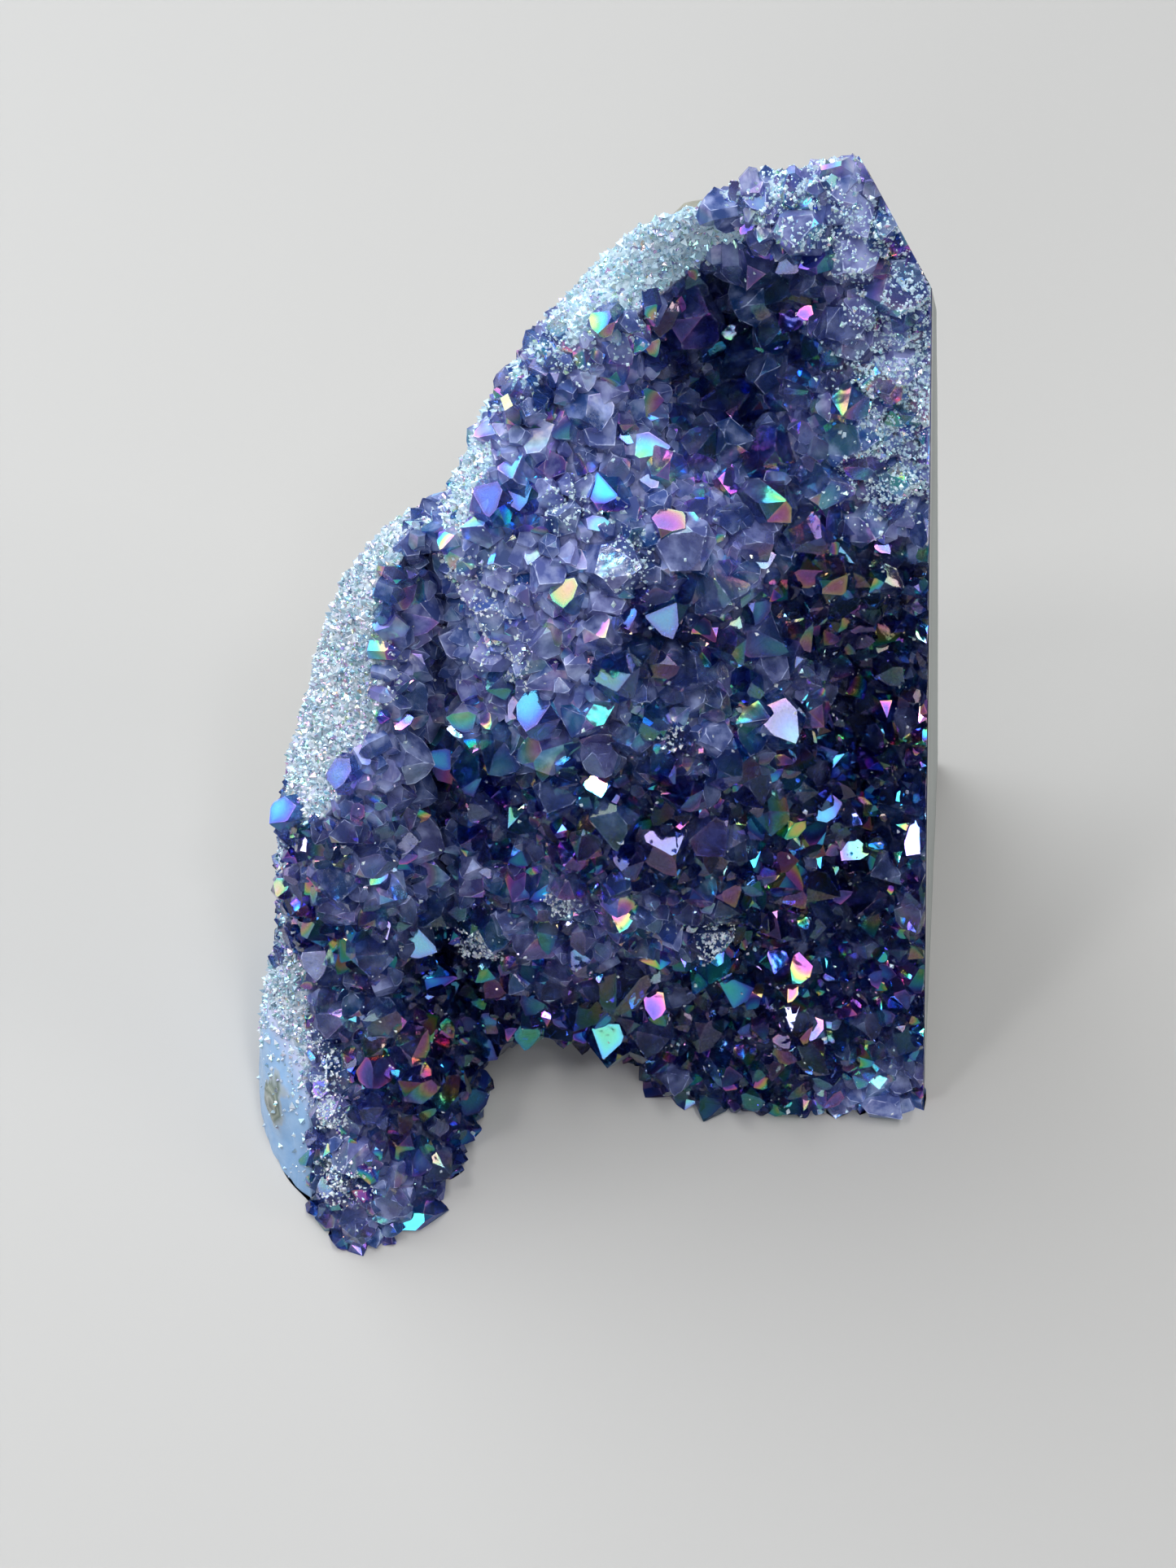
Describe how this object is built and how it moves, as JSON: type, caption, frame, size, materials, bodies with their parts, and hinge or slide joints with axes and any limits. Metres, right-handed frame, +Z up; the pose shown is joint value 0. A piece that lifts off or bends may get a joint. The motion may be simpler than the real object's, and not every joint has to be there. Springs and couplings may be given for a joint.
{
  "type": "aura amethyst cluster",
  "caption": "Leaning piece of amethyst geode wall with an iridescent crystal face, ground rims, a sawn right side and a sawn flat base it stands on.",
  "frame": {"origin": "centre of the bounding box on the plane of the sawn base", "axes": "+Z up, square to the sawn base; +X to the right when facing the crystals; +Y to the back, the way the wall leans"},
  "size_m": [0.07, 0.0588, 0.0884],
  "materials": {
    "amethyst": "clear dusky violet quartz with an iridescent metal film on its facets",
    "ground_rim": "ground milky quartz and agate, sparkling, pale lavender to blue",
    "geode_rind": "matt grey sawn stone and natural rough back"
  },
  "bodies": {
    "root": {"amethyst_cluster": "amethyst"}
  },
  "joints": []
}
